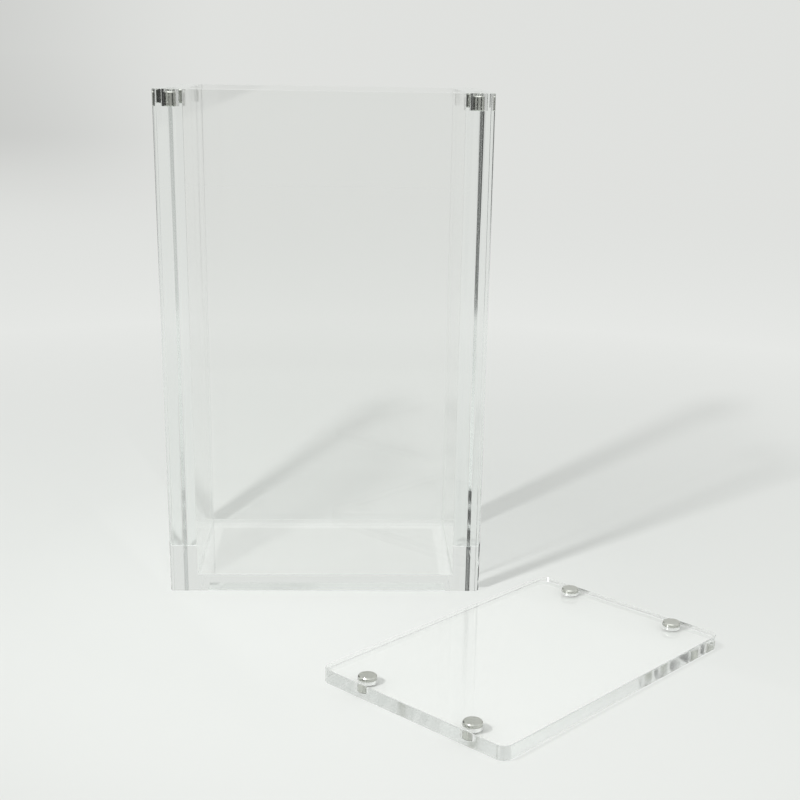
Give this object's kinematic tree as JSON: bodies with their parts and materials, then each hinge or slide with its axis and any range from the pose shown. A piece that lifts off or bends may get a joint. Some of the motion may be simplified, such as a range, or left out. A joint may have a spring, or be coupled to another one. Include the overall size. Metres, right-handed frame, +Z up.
{
  "type": "trading card display case",
  "caption": "Upright box of thick clear acrylic with an open top, and a loose flat lid that snaps on with disc magnets set in the side walls and the lid.",
  "frame": {"origin": "centre of the case's footprint, on the surface it stands on, at the underside of the base plate", "axes": "+X to the right along the case's front, +Y from the front wall to the rear wall, +Z up out of the open top"},
  "size_m": [0.1581, 0.1702, 0.148],
  "materials": {
    "clear_acrylic": "polished",
    "nickel_plate": "polished nickel"
  },
  "bodies": {
    "case": {"front_wall": "clear_acrylic", "rear_wall": "clear_acrylic", "left_wall": "clear_acrylic", "right_wall": "clear_acrylic", "base_plate": "clear_acrylic", "case_magnet_front_left": "nickel_plate", "case_magnet_front_right": "nickel_plate", "case_magnet_rear_left": "nickel_plate", "case_magnet_rear_right": "nickel_plate"},
    "lid": {"lid_plate": "clear_acrylic", "lid_magnet_left": "nickel_plate", "lid_magnet_near": "nickel_plate", "lid_magnet_back": "nickel_plate", "lid_magnet_right": "nickel_plate"}
  },
  "joints": [
    {"name": "lid_lift", "type": "slide", "parent": "case", "child": "lid", "axis": [0, 0, 1], "range_m": [0, 0.17]}
  ]
}
